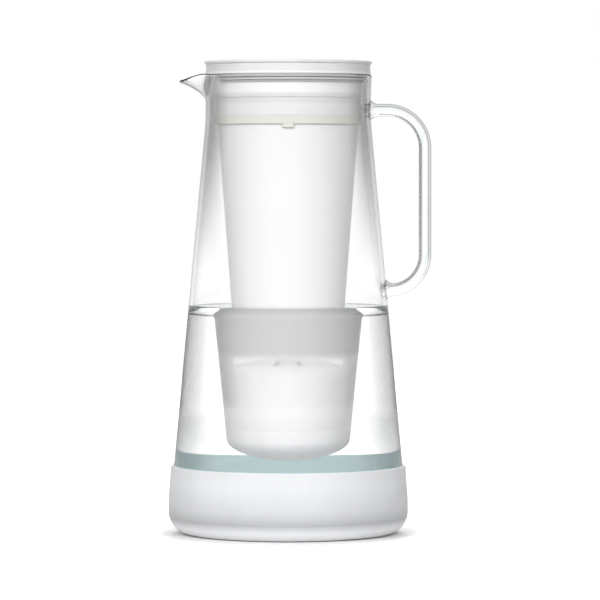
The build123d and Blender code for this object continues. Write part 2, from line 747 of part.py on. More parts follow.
def hinge_seat():
    """What is cut away so that the cover and its barrel can swing."""
    far = 2 * LID_RADIUS
    face = SEAM_X + SLIP
    pocket = BARREL_HALF + SLIP
    seat = disc(WELL_RADIUS, LID_TOP, COVER_TOP + PAST)
    fixed = block(face, far, -far, far, LID_TOP, COVER_TOP + PAST)
    corner = block(face, PIN_X, -far, far, PIN_Z, COVER_TOP + PAST)
    corner -= hinge_bore(BARREL_RADIUS, -far, far)
    fixed -= corner
    fixed -= block(face, PIN_X + BARREL_RADIUS + SLIP, -pocket, pocket, LID_TOP, COVER_TOP + PAST)
    relief = block(SEAM_X - PAST, PIN_X, -far, far, PIN_Z, COVER_TOP + PAST)
    relief &= disc(WELL_RADIUS + 2 * COVER_GAP, PIN_Z, COVER_TOP + PAST)
    return seat - fixed + (relief - hinge_bore(BARREL_RADIUS, -far, far))


def lid_ring():
    body = disc(FLANGE_RADIUS - LID_PLATE_INSET, LID_Z, LID_TOP)
    body += lid_rim() - hinge_seat()
    body -= Pos(-FILL_OFFSET, 0, 0) * disc(FILL_RADIUS, LID_Z - PAST, LID_TOP + PAST)
    body -= Pos(-THUMB_CENTRE, 0, 0) * disc(THUMB_RADIUS, LID_TOP + THUMB_FLOOR, COVER_TOP + PAST)
    return body - hinge_bore(PIN_RADIUS + PIN_GRIP, -PIN_HALF - TOUCH, LID_RADIUS)


def lid_seal_levels():
    middle = LID_Z - PLUG_DEPTH / 2
    return middle - LID_SEAL_HEIGHT / 2, middle + LID_SEAL_HEIGHT / 2


def lid_plug():
    """The ring welded under the lid's plate, which fits in the collar."""
    plug = ring(plug_radius() - PLUG_WALL, plug_radius(), LID_Z - PLUG_DEPTH, LID_Z)
    low, high = lid_seal_levels()
    groove = plug_radius() - LID_SEAL_SINK - TOUCH
    return plug - ring(groove, plug_radius() + PAST, low - TOUCH, high + TOUCH)


def lid_seal():
    low, high = lid_seal_levels()
    return ring(plug_radius() - LID_SEAL_SINK, COLLAR_BORE - SLIP, low, high)


def hinge_pin():
    return hinge_bore(PIN_RADIUS, -PIN_HALF, PIN_HALF)


def flip_cover():
    far = 2 * LID_RADIUS
    radius = WELL_RADIUS - COVER_GAP
    cover = disc(radius, COVER_Z, COVER_TOP) & block(-far, SEAM_X, -far, far, COVER_Z, COVER_TOP)
    hollow = disc(radius - COVER_SKIRT_WALL, COVER_Z - PAST, ROOF_Z)
    wall = SEAM_X - COVER_SKIRT_WALL
    cover -= hollow & block(-far, wall, -far, far, COVER_Z - PAST, ROOF_Z)
    cover += block(wall, PIN_X, -BARREL_HALF, BARREL_HALF, ROOF_Z, COVER_TOP)
    cover += hinge_bore(BARREL_RADIUS, -BARREL_HALF, BARREL_HALF)
    rib = FILL_RADIUS + GASKET_RING_MARGIN + GASKET_RING_WALL + TOUCH
    keeper = ring(rib, rib + GASKET_KEEPER, ROOF_Z - GASKET_KEEPER, ROOF_Z)
    keeper = Pos(-FILL_OFFSET, 0, 0) * keeper
    cover += keeper & disc(radius, COVER_Z, COVER_TOP)
    return cover - hinge_bore(PIN_RADIUS + PIN_PLAY, -far, far)


def cover_gasket():
    inner = FILL_RADIUS + GASKET_RING_MARGIN
    low = LID_TOP + COVER_REST / 2
    return Pos(-FILL_OFFSET, 0, 0) * ring(inner, inner + GASKET_RING_WALL, low, ROOF_Z)


# ---- the assembly -------------------------------------------------------

pieces = {
    "glass_jug": glass_jug(),
    "glass_handle": glass_handle(),
    "base_boot": base_boot(),
    "collar": collar(),
    "rim_gasket": rim_gasket(),
    "collar_seal": collar_seal(),
    "reservoir": reservoir(),
    "bottom_cap": bottom_cap(),
    "cap_o_ring": cap_o_ring(),
    "outlet_mesh": outlet_mesh(),
    "carbon_canister": carbon_canister(),
    "carbon_cover": carbon_cover(),
    "divider_plate": divider_plate(),
    "divider_seal": divider_seal(),
    "membrane_housing": membrane_housing(),
    "nozzle_o_ring": nozzle_o_ring(),
    "fibre_potting": fibre_potting(),
    "membrane_fibres": membrane_fibres(),
    "membrane_cap": membrane_cap(),
    "lid_ring": lid_ring(),
    "lid_plug": lid_plug(),
    "lid_seal": lid_seal(),
    "hinge_pin": hinge_pin(),
    "flip_cover": flip_cover(),
    "cover_gasket": cover_gasket(),
}
pieces.update(canister_fillings())

for name, solid in pieces.items():
    export_step(solid, "parts/" + name + ".step")
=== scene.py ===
"""Looks of a tall glass water filter jug on a silicone boot. Metres, +Z up, front at -Y."""

import math

import bpy
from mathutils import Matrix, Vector

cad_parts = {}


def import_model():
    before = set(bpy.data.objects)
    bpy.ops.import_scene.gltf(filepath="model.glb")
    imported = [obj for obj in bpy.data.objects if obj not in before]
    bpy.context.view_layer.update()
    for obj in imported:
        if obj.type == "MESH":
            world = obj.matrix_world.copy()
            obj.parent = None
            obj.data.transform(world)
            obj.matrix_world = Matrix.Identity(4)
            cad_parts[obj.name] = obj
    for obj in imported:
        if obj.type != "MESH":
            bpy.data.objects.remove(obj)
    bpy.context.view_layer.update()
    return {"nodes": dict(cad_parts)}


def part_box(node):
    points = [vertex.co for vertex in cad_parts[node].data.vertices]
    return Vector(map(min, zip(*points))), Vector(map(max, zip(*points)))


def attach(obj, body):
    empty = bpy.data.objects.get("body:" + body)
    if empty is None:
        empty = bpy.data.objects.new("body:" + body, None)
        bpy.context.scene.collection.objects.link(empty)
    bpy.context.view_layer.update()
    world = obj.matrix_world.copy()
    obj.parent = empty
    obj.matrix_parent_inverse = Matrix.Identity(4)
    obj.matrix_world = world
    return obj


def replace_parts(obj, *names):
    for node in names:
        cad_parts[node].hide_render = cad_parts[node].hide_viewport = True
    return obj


MM = 0.001
UP = Vector((0, 0, 1))

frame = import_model()
nodes = frame["nodes"]

# ---- sizes --------------------------------------------------------------

JUG_LOW, JUG_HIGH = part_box("glass_jug")
BASE_Z = JUG_LOW.z
RIM_Z = JUG_HIGH.z
BASE_RADIUS = 68.45 * MM       # where the cone would meet the base
NECK_RADIUS = 47.0 * MM
NECK_DEPTH = 25.6 * MM         # rim down to where the cone would meet the neck
NECK_BLEND = 6.0 * MM
RIM_FLARE = 0.6 * MM
CORNER = 12.0 * MM
WALL = 2.2 * MM
FLOOR = 3.5 * MM
NECK_Z = RIM_Z - NECK_DEPTH
TAPER = (BASE_RADIUS - NECK_RADIUS) / (NECK_Z - BASE_Z)
SLANT = math.atan(TAPER)

SPOUT_DEPTH = 15.1 * MM        # rim down to where the spout starts
SPOUT_RISE = 0.13 / MM         # outward growth per square of height
SPOUT_HALF_WIDTH = 3.4 * MM    # half width at half its reach, at the root
SPOUT_SPREAD = 0.23            # how fast that half width grows upwards
SPOUT_BROW = NECK_RADIUS + 2.5 * MM
SPOUT_TIP = -JUG_LOW.x
SPOUT_DROP = 5.7 * MM          # rim down to the tip
SPOUT_LIP_RUN = 0.62           # how far the lip runs out per fall at the tip
SPOUT_LIP_EASE = 9.0 * MM      # how long the lip holds its direction at either end

ROD = 3.55 * MM                # radius of the handle's glass rod
HANDLE_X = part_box("glass_handle")[1].x - ROD
UPPER_ARM = RIM_Z - 20.0 * MM
LOWER_ARM = UPPER_ARM - 102.3 * MM
UPPER_BEND = 21.5 * MM
LOWER_BEND = 20.0 * MM
WELD_RADIUS = 6.0 * MM
WELD_LENGTH = 6.0 * MM
WELD_SINK = 0.25 * MM          # how deep the rod's root lies in the jug's wall
ARM_STRAIGHT = 0.99            # share along X from which the rod's end is fitted to the wall

WATER_Z = 129.7 * MM
WATER_OVERLAP = 0.12 * MM      # how far the water's skin lies in the glass
MENISCUS_RISE = 0.3 * MM
MENISCUS_REACH = 0.4 * MM

BOOT_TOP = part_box("base_boot")[1].z
BOOT_GAP = 0.05 * MM           # keeps the glass's skin and the boot's from sharing one surface
BOOT_GAP_RUN = 4.0 * MM        # the height over which that gap opens, below the boot's top

TURN_STEPS = 320
ROD_STEPS = 48

# Heights between which a material's tone changes, low and high. Several place painted shade: the boot's
# dark foot, the collar's darker lower part, the glass's darker edges and the reservoir's grey above the
# canister.
BOOT_SHADE = (0.0, 30.0 * MM)
BOOT_EDGE = (BOOT_TOP, BOOT_TOP + 0.5 * MM)
CANISTER_FOOT = (70.0 * MM, 76.0 * MM)
CANISTER_DOME = (98.0 * MM, 103.5 * MM)
WATER_LINE = (WATER_Z - 3.5 * MM, WATER_Z - 1.0 * MM)
WET_EDGE = (WATER_Z - 0.4 * MM, WATER_Z + 0.4 * MM)
NECK_SHADE = (150.0 * MM, 225.0 * MM)
COLLAR_SHADE = (236.0 * MM, 262.0 * MM)


# ---- meshes -------------------------------------------------------------

def lerp(a, b, t):
    return a + (b - a) * t


def hermite(p0, p1, m0, m1, t):
    """A point of a cubic between p0 and p1 that leaves and arrives along m0 and m1."""
    a, b = 2 * t ** 3 - 3 * t ** 2 + 1, -2 * t ** 3 + 3 * t ** 2
    c, d = t ** 3 - 2 * t ** 2 + t, t ** 3 - t ** 2
    return tuple(a * x + b * y + c * u + d * v for x, y, u, v in zip(p0, p1, m0, m1))


def new_piece(name, vertices, faces, smooth=True):
    mesh = bpy.data.meshes.new(name)
    mesh.from_pydata([tuple(v) for v in vertices], [], faces)
    mesh.update()
    if smooth:
        mesh.polygons.foreach_set("use_smooth", [True] * len(mesh.polygons))
    piece = bpy.data.objects.new(name, mesh)
    bpy.context.scene.collection.objects.link(piece)
    return piece


def skin(name, rows):
    """A closed skin over rows of points that go round; the first and last rows are single points."""
    steps = len(rows[1])
    vertices = [p for row in rows for p in row]
    starts = [0]
    for row in rows[:-1]:
        starts.append(starts[-1] + len(row))
    faces = []
    for low, high, a, b in zip(rows, rows[1:], starts, starts[1:]):
        for k in range(steps):
            n = (k + 1) % steps
            if len(low) == 1:
                faces.append((a, b + n, b + k))
            elif len(high) == 1:
                faces.append((a + k, a + n, b))
            else:
                faces.append((a + k, a + n, b + n, b + k))
    return new_piece(name, vertices, faces)


def turned_row(r, z, steps=TURN_STEPS):
    if r < 1e-7:
        return [Vector((0, 0, z))]
    angles = [2 * math.pi * k / steps for k in range(steps)]
    return [Vector((r * math.cos(a), r * math.sin(a), z)) for a in angles]


def cone_radius(z):
    return BASE_RADIUS - TAPER * (z - BASE_Z)


def neck_radius(z):
    """Outer radius between the neck's blend and the rim."""
    low = NECK_Z + NECK_BLEND
    t = max(0.0, (z - low) / (RIM_Z - low))
    return NECK_RADIUS + RIM_FLARE * t * t


def vessel_rows(inset, floor_z, corner):
    """Section (r, z) of the jug up to where the spout's rows begin."""
    z = floor_z + corner
    centre = cone_radius(z) - (inset + corner) / math.cos(SLANT)
    rows = [(centre * t, floor_z) for t in (0, 0.2, 0.5, 0.8, 0.95)]
    for k in range(17):
        a = lerp(-math.pi / 2, SLANT, k / 16)
        rows.append((centre + corner * math.cos(a), z + corner * math.sin(a)))
    slope = inset / math.cos(SLANT)
    start, end = rows[-1][1], NECK_Z - NECK_BLEND
    for k in range(1, 25):
        level = lerp(start, end, k / 24)
        rows.append((cone_radius(level) - slope, level))
    span = 2 * NECK_BLEND
    low, high = rows[-1], (NECK_RADIUS - inset, NECK_Z + NECK_BLEND)
    for k in range(1, 15):
        rows.append(hermite(low, high, (-TAPER * span, span), (0, span), k / 14))
    return rows


def lip_level(x):
    """Height of the spout's lip at the distance x from the axis."""
    if x <= SPOUT_BROW:
        return RIM_Z
    if x >= SPOUT_TIP:
        return RIM_Z - SPOUT_DROP
    run = SPOUT_LIP_EASE
    fall = run / math.hypot(SPOUT_LIP_RUN, 1)
    p0, p1 = (SPOUT_BROW, RIM_Z), (SPOUT_TIP, RIM_Z - SPOUT_DROP)
    low, high = 0.0, 1.0
    for _ in range(24):
        t = (low + high) / 2
        if hermite(p0, p1, (run, 0), (SPOUT_LIP_RUN * fall, -fall), t)[0] < x:
            low = t
        else:
            high = t
    return hermite(p0, p1, (run, 0), (SPOUT_LIP_RUN * fall, -fall), low)[1]


def mouth_point(angle, z):
    """A point of the jug's outer skin at the neck, with the spout drawn out towards -X."""
    climb = max(0.0, z - (RIM_Z - SPOUT_DEPTH))
    across = NECK_RADIUS * math.remainder(angle - math.pi, 2 * math.pi)
    half = SPOUT_HALF_WIDTH + SPOUT_SPREAD * climb
    swell = SPOUT_RISE * climb ** 2 * math.exp(-math.log(2) * (across / half) ** 2)
    r = neck_radius(z) + swell
    return Vector((r * math.cos(angle), r * math.sin(angle), z))


def mouth_top(angle):
    """Height where the skin at this angle meets the rim or the spout's lip."""
    low, high = RIM_Z - SPOUT_DEPTH, RIM_Z
    for _ in range(26):
        z = (low + high) / 2
        if z < lip_level(-mouth_point(angle, z).x):
            low = z
        else:
            high = z
    return low


def mouth_rows(count=26):
    """Outer and inner rows of the neck from below the spout to the rim, and the rim's round."""
    base = NECK_Z + NECK_BLEND
    angles = [2 * math.pi * k / TURN_STEPS for k in range(TURN_STEPS)]
    tops = [mouth_top(a) - WALL / 2 for a in angles]
    step = 0.02 * MM
    outer, inner, rim = [], [], [[] for _ in range(9)]
    for k in range(1, count + 1):
        out_row, in_row = [], []
        for a, top in zip(angles, tops):
            z = lerp(base, top, k / count)
            p = mouth_point(a, z)
            up = (mouth_point(a, z + step) - mouth_point(a, z - step)).normalized()
            side = (mouth_point(a + 1e-4, z) - mouth_point(a - 1e-4, z)).normalized()
            out = side.cross(up)
            out_row.append(p)
            in_row.append(p - out * WALL)
            if k == count:
                centre = p - out * (WALL / 2)
                for j, ring in enumerate(rim):
                    turn = math.pi * (j + 1) / (len(rim) + 1)
                    ring.append(centre + (out * math.cos(turn) + up * math.sin(turn)) * (WALL / 2))
        outer.append(out_row)
        inner.append(in_row)
    return outer, rim, inner


def glass_jug():
    outside = []
    for r, z in vessel_rows(0, BASE_Z + BOOT_GAP, CORNER):
        held = min(1.0, max(0.0, (BOOT_TOP - z) / BOOT_GAP_RUN))
        outside.append(turned_row(max(0.0, r - BOOT_GAP * held), z))
    inside = [turned_row(r, z) for r, z in vessel_rows(WALL, BASE_Z + FLOOR, CORNER - WALL)]
    outer, rim, inner = mouth_rows()
    return skin("jug_glass", outside + outer + rim + inner[::-1] + inside[::-1])


def water_body():
    section = vessel_rows(WALL - WATER_OVERLAP, BASE_Z + FLOOR - WATER_OVERLAP, CORNER - WALL)
    section = [(r, z) for r, z in section if z < WATER_Z]
    edge = cone_radius(WATER_Z) - (WALL - WATER_OVERLAP) / math.cos(SLANT)
    crest = WATER_Z + MENISCUS_RISE
    section.append((cone_radius(crest) - WALL / math.cos(SLANT), crest))
    for k in range(1, 13):
        d = 4 * MENISCUS_REACH * (k / 12) ** 1.5
        section.append((edge - d, WATER_Z + MENISCUS_RISE * math.exp(-d / MENISCUS_REACH * 1.6)))
    section += [(edge * t, WATER_Z) for t in (0.8, 0.6, 0.4, 0.2, 0)]
    return skin("water", [turned_row(r, z) for r, z in section])


def handle_line():
    """Points and directions of the rod's centreline, from the neck to the lower weld."""
    points = []
    x0, x1 = NECK_RADIUS - WELD_SINK, HANDLE_X
    bend_x = x1 - UPPER_BEND
    for k in range(15):
        points.append((Vector((lerp(x0, bend_x, k / 14), 0, UPPER_ARM)), Vector((1, 0, 0))))
    for k in range(1, 33):
        a = math.pi / 2 * (1 - k / 32)
        spoke = Vector((math.cos(a), 0, math.sin(a)))
        centre = Vector((bend_x, 0, UPPER_ARM - UPPER_BEND))
        points.append((centre + spoke * UPPER_BEND, Vector((spoke.z, 0, -spoke.x))))
    low = LOWER_ARM + LOWER_BEND
    for k in range(1, 17):
        points.append((Vector((x1, 0, lerp(UPPER_ARM - UPPER_BEND, low, k / 16))), -UP))
    for k in range(1, 33):
        a = -math.pi / 2 * k / 32
        spoke = Vector((math.cos(a), 0, math.sin(a)))
        centre = Vector((x1 - LOWER_BEND, 0, low))
        points.append((centre + spoke * LOWER_BEND, Vector((spoke.z, 0, -spoke.x))))
    end = cone_radius(LOWER_ARM) - WELD_SINK
    for k in range(1, 11):
        points.append((Vector((lerp(x1 - LOWER_BEND, end, k / 10), 0, LOWER_ARM)), Vector((-1, 0, 0))))
    return points


def weld_swell(distance):
    """How much the rod widens at this distance from the wall."""
    t = max(0.0, 1 - distance / WELD_LENGTH)
    return (WELD_RADIUS - ROD) * t ** 3


def glass_handle():
    line = handle_line()
    lengths = [0.0]
    for (a, _), (b, _) in zip(line, line[1:]):
        lengths.append(lengths[-1] + (b - a).length)
    rows = []
    for (p, along), s in zip(line, lengths):
        radius = ROD + weld_swell(s) + weld_swell(lengths[-1] - s)
        side = Vector((0, 1, 0))
        up = side.cross(along)
        row = []
        for k in range(ROD_STEPS):
            a = 2 * math.pi * k / ROD_STEPS
            row.append(p + (up * math.sin(a) + side * math.cos(a)) * radius)
        near = min(s, lengths[-1] - s)
        pull = max(0.0, 1 - near / WELD_LENGTH)
        if pull > 0 and abs(along.x) > ARM_STRAIGHT:
            for q in row:
                wall = math.sqrt(max(0.0, p.x ** 2 - q.y ** 2))
                q.x = lerp(q.x, wall, pull)
        rows.append(row)
    first, last = [line[0][0].copy()], [line[-1][0].copy()]
    return skin("handle_rod", [first] + rows + [last])


# ---- materials ----------------------------------------------------------

class Nodes:
    """A material's node tree, with short ways to add and join nodes."""

    def __init__(self, name):
        self.material = bpy.data.materials.new(name)
        self.material.use_nodes = True
        self.tree = self.material.node_tree
        self.tree.nodes.clear()
        self.output = self.add("ShaderNodeOutputMaterial")

    def add(self, kind, **values):
        node = self.tree.nodes.new(kind)
        for key, value in values.items():
            if hasattr(node, key) and key not in node.inputs:
                setattr(node, key, value)
            else:
                node.inputs[key].default_value = value
        return node

    def math(self, operation, a, b):
        node = self.add("ShaderNodeMath", operation=operation)
        for k, value in enumerate((a, b)):
            if isinstance(value, (int, float)):
                node.inputs[k].default_value = value
            else:
                self.tree.links.new(value, node.inputs[k])
        return node.outputs[0]

    def ramp(self, value, stops, smooth=True):
        """A colour ramp from (place, grey or colour) stops."""
        node = self.add("ShaderNodeValToRGB")
        node.color_ramp.interpolation = "EASE" if smooth else "LINEAR"
        elements = node.color_ramp.elements
        elements[0].position, elements[1].position = stops[0][0], stops[-1][0]
        for place, _ in stops[1:-1]:
            elements.new(place)
        for element, (_, colour) in zip(elements, stops):
            if isinstance(colour, (int, float)):
                colour = (colour, colour, colour)
            element.color = (*colour, 1)
        self.tree.links.new(value, node.inputs[0])
        return node.outputs[0]

    def noise(self, scale, detail=2.0):
        """Noise over the piece's own place, with the scale in waves a metre."""
        place = self.add("ShaderNodeTexCoord")
        noise = self.add("ShaderNodeTexNoise")
        noise.inputs["Scale"].default_value = scale
        noise.inputs["Detail"].default_value = detail
        self.tree.links.new(place.outputs["Object"], noise.inputs["Vector"])
        return noise.outputs["Fac"]

    def height(self, low, high):
        """0 at the height low, 1 at high, in the object's own frame."""
        place = self.add("ShaderNodeTexCoord")
        parts = self.add("ShaderNodeSeparateXYZ")
        self.tree.links.new(place.outputs["Object"], parts.inputs[0])
        span = self.add("ShaderNodeMapRange")
        span.inputs["From Min"].default_value = low
        span.inputs["From Max"].default_value = high
        self.tree.links.new(parts.outputs["Z"], span.inputs["Value"])
        return span.outputs[0]

    def mix(self, factor, a, b):
        """A mix of two shaders."""
        node = self.add("ShaderNodeMixShader")
        if isinstance(factor, (int, float)):
            node.inputs[0].default_value = factor
        else:
            self.tree.links.new(factor, node.inputs[0])
        self.tree.links.new(a, node.inputs[1])
        self.tree.links.new(b, node.inputs[2])
        return node.outputs[0]

    def blend(self, factor, a, b):
        """A mix of two colours."""
        node = self.add("ShaderNodeMix", data_type="RGBA")
        for key, value in (("Factor", factor), ("A", a), ("B", b)):
            socket = [s for s in node.inputs if s.name == key and s.enabled][0]
            if isinstance(value, (int, float)):
                socket.default_value = value
            elif isinstance(value, tuple):
                socket.default_value = (*value, 1)
            else:
                self.tree.links.new(value, socket)
        return [s for s in node.outputs if s.enabled][0]

    def tint(self, a, b):
        """Two colours multiplied."""
        node = self.add("ShaderNodeVectorMath", operation="MULTIPLY")
        self.tree.links.new(a, node.inputs[0])
        self.tree.links.new(b, node.inputs[1])
        return node.outputs[0]

    def passing(self):
        """1 on the shadow and diffuse rays that carry light through to what is inside."""
        path = self.add("ShaderNodeLightPath")
        return self.math("MAXIMUM", path.outputs["Is Shadow Ray"], path.outputs["Is Diffuse Ray"])

    def finish(self, surface, volume=None):
        self.tree.links.new(surface, self.output.inputs["Surface"])
        if volume is not None:
            self.tree.links.new(volume, self.output.inputs["Volume"])
        return self.material


def moulded(name, colour, roughness, grain=0.0, grain_scale=900.0, spread=0.02, coat=0.0,
            subsurface=0.0, painted_shade_bands=None, specular=0.5):
    """A moulded plastic or rubber: faint tone changes, uneven gloss and a fine grain.

    bands = (low, high, stops) changes the tone with the height."""
    m = Nodes(name)
    skin_node = m.add("ShaderNodeBsdfPrincipled")
    skin_node.inputs["Specular IOR Level"].default_value = specular
    tone = m.noise(45.0, 3.0)
    low = tuple(c * (1 - spread) for c in colour)
    high = tuple(min(1.0, c * (1 + spread)) for c in colour)
    shade = m.ramp(tone, [(0.3, low), (0.7, high)])
    # Painted shade: the height ramp darkens the tone between low and high.
    if painted_shade_bands is not None:
        low_z, high_z, stops = painted_shade_bands
        shade = m.tint(shade, m.ramp(m.height(low_z, high_z), stops, smooth=False))
    m.tree.links.new(shade, skin_node.inputs["Base Color"])
    gloss = m.ramp(m.noise(160.0, 4.0), [(0.3, roughness * 0.85), (0.7, min(1, roughness * 1.15))])
    m.tree.links.new(gloss, skin_node.inputs["Roughness"])
    if grain > 0:
        bump = m.add("ShaderNodeBump")
        bump.inputs["Strength"].default_value = grain
        bump.inputs["Distance"].default_value = 0.05 * MM
        m.tree.links.new(m.noise(grain_scale, 2.0), bump.inputs["Height"])
        m.tree.links.new(bump.outputs[0], skin_node.inputs["Normal"])
    skin_node.inputs["Coat Weight"].default_value = coat
    if subsurface > 0:
        skin_node.inputs["Subsurface Weight"].default_value = subsurface
        skin_node.inputs["Subsurface Radius"].default_value = (3 * MM, 3 * MM, 3 * MM)
        skin_node.inputs["Subsurface Scale"].default_value = 1.0
    return m.finish(skin_node.outputs[0])


def clear_body(name, ior, zones, absorb_colour, absorb_density):
    """Clear glass or water that light passes on its way to what is inside.

    zones lists (height, stops) from low to high: the stops give the tint from facing (0)
    to edge-on (1), and between two heights the tint turns from one zone's to the next's."""
    m = Nodes(name)
    weight = m.add("ShaderNodeLayerWeight")
    weight.inputs["Blend"].default_value = 0.5
    # Painted shade: these facing ramps darken the skin towards edge-on, by a different amount at each
    # height.
    tint = m.ramp(weight.outputs["Facing"], zones[0][1], smooth=False)
    for (low, _), (high, stops) in zip(zones, zones[1:]):
        upper = m.ramp(weight.outputs["Facing"], stops, smooth=False)
        tint = m.blend(m.height(low, high), tint, upper)
    glass = m.add("ShaderNodeBsdfGlass")
    glass.inputs["Roughness"].default_value = 0.0
    glass.inputs["IOR"].default_value = ior
    m.tree.links.new(tint, glass.inputs["Color"])
    clear = m.add("ShaderNodeBsdfTransparent")
    surface = m.mix(m.passing(), glass.outputs[0], clear.outputs[0])
    absorb = m.add("ShaderNodeVolumeAbsorption")
    absorb.inputs["Color"].default_value = (*absorb_colour, 1)
    absorb.inputs["Density"].default_value = absorb_density
    return m.finish(surface, absorb.outputs[0])


def translucent_plastic(name, colour, through):
    """A milky inner piece that lets most light on to what lies behind it."""
    m = Nodes(name)
    tone = m.ramp(m.noise(60.0, 3.0), [(0.3, tuple(0.97 * c for c in colour)), (0.7, colour)])
    milk = m.add("ShaderNodeBsdfPrincipled")
    m.tree.links.new(tone, milk.inputs["Base Color"])
    milk.inputs["Roughness"].default_value = 0.5
    clear = m.add("ShaderNodeBsdfTransparent")
    share = m.math("MULTIPLY", m.passing(), through)
    return m.finish(m.mix(share, milk.outputs[0], clear.outputs[0]))


def frosted_plastic():
    """The reservoir's wall: milky when dry, hazy below the water, clearest beside the canister."""
    m = Nodes("frosted_plastic")
    grain = m.noise(700.0, 3.0)
    bump = m.add("ShaderNodeBump")
    bump.inputs["Strength"].default_value = 0.15
    bump.inputs["Distance"].default_value = 0.05 * MM
    m.tree.links.new(grain, bump.inputs["Height"])
    wet = m.height(WET_EDGE[1], WET_EDGE[0])
    low = m.height(CANISTER_DOME[1], CANISTER_DOME[0])
    beside = m.math("MULTIPLY", low, m.height(*CANISTER_FOOT))
    # Painted shade: under the water and above the canister's dome the wall is painted grey, for the
    # shaded hollow behind it.
    wet_painted_shade = m.blend(low, (0.65, 0.65, 0.65), (0.95, 0.95, 0.95))
    colour = m.blend(wet, (0.96, 0.96, 0.96), wet_painted_shade)
    milk = m.add("ShaderNodeBsdfDiffuse")
    m.tree.links.new(colour, milk.inputs["Color"])
    glow = m.add("ShaderNodeBsdfTranslucent")
    m.tree.links.new(colour, glow.inputs["Color"])
    body = m.mix(0.12, milk.outputs[0], glow.outputs[0])
    haze = m.add("ShaderNodeBsdfRefraction")
    m.tree.links.new(m.blend(beside, (0.90, 0.90, 0.90), (0.98, 0.98, 0.98)), haze.inputs["Color"])
    m.tree.links.new(m.ramp(beside, [(0.0, 0.65), (1.0, 0.28)], smooth=False), haze.inputs["Roughness"])
    haze.inputs["IOR"].default_value = 1.02
    above = m.math("MULTIPLY", m.math("SUBTRACT", 1.0, low), 0.18)
    share = m.math("MULTIPLY", wet, m.math("ADD", m.math("MULTIPLY", beside, 0.74), above))
    wall = m.mix(share, body, haze.outputs[0])
    gloss = m.add("ShaderNodeBsdfGlossy")
    gloss.inputs["Roughness"].default_value = 0.4
    m.tree.links.new(bump.outputs[0], gloss.inputs["Normal"])
    sheen = m.add("ShaderNodeFresnel")
    sheen.inputs["IOR"].default_value = 1.2
    surface = m.mix(sheen.outputs[0], wall, gloss.outputs[0])
    clear = m.add("ShaderNodeBsdfTransparent")
    through = m.ramp(wet, [(0.0, 0.6), (1.0, 0.95)], smooth=False)
    passing = m.math("MULTIPLY", m.passing(), through)
    return m.finish(m.mix(passing, surface, clear.outputs[0]))


def brushed_steel():
    m = Nodes("steel")
    metal = m.add("ShaderNodeBsdfPrincipled")
    metal.inputs["Metallic"].default_value = 1.0
    metal.inputs["Base Color"].default_value = (0.62, 0.62, 0.61, 1)
    gloss = m.ramp(m.noise(900.0, 3.0), [(0.3, 0.22), (0.7, 0.34)])
    m.tree.links.new(gloss, metal.inputs["Roughness"])
    return m.finish(metal.outputs[0])


def dress(material, *names):
    """Gives CAD nodes their finish."""
    for name in names:
        slots = nodes[name].data.materials
        if len(slots) == 0:
            slots.append(material)
        for k in range(len(slots)):
            slots[k] = material


# ---- the object ---------------------------------------------------------

GLASS_IOR = 1.47
WATER_IOR = 1.333
GLASS_ABSORPTION = ((0.90, 0.97, 0.96), 0.5)      # colour and density
WATER_ABSORPTION = ((0.80, 0.96, 0.97), 0.3)

# Tints of clear skins: BOOT_TINT is a colour; the lists are painted shade that darkens the skin towards
# edge-on, as (place from facing 0 to edge-on 1, share of light let by).
BOOT_TINT = (0.90, 1.0, 1.0)
IN_BOOT_EDGE_SHADE = [(0.0, 1.0), (0.60, 0.95), (1.0, 0.70)]
UNDER_WATER_EDGE_SHADE = [(0.0, 1.0), (0.22, 1.0), (0.28, 0.92), (0.33, 0.85), (0.40, 0.76), (0.46, 0.69),
               (0.56, 0.62), (0.78, 0.55), (1.0, 0.40)]
ABOVE_WATER_EDGE_SHADE = [(0.0, 1.0), (0.60, 1.0), (0.76, 0.90), (1.0, 0.60)]
NECK_EDGE_SHADE = [(0.0, 1.0), (0.30, 0.98), (0.40, 0.84), (0.48, 0.71), (0.61, 0.58), (0.78, 0.54),
           (1.0, 0.60)]
ROD_EDGE_SHADE = [(0.0, 1.0), (0.10, 0.99), (0.22, 0.90), (0.36, 0.76), (0.50, 0.60), (0.70, 0.42),
          (1.0, 0.25)]
UNTINTED = [(0.0, 1.0), (1.0, 1.0)]

glass = clear_body("clear_glass", GLASS_IOR, [
    (BOOT_EDGE[0], [(place, tuple(c * value for c in BOOT_TINT)) for place, value in IN_BOOT_EDGE_SHADE]),
    (BOOT_EDGE[1], UNDER_WATER_EDGE_SHADE),
    (WATER_LINE[0], UNDER_WATER_EDGE_SHADE),
    (WATER_LINE[1], ABOVE_WATER_EDGE_SHADE),
    (NECK_SHADE[0], ABOVE_WATER_EDGE_SHADE),
    (NECK_SHADE[1], NECK_EDGE_SHADE),
], *GLASS_ABSORPTION)
rod_glass = clear_body("rod_glass", GLASS_IOR, [(0.0, ROD_EDGE_SHADE)], *GLASS_ABSORPTION)
water = clear_body("water", WATER_IOR, [(0.0, UNTINTED)], *WATER_ABSORPTION)

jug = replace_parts(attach(glass_jug(), "jug"), "glass_jug")
jug.data.materials.append(glass)
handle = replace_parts(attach(glass_handle(), "jug"), "glass_handle")
handle.data.materials.append(rod_glass)
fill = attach(water_body(), "jug")
fill.data.materials.append(water)

# Painted shade on the boot: darkest in a band near its foot, its lowest edge kept full as painted floor
# light, and 0.84 above.
BOOT_PAINTED_SHADE = [(0.0, 1.0), (0.16, 1.0), (0.32, 0.52), (0.55, 0.71), (1.0, 0.84)]
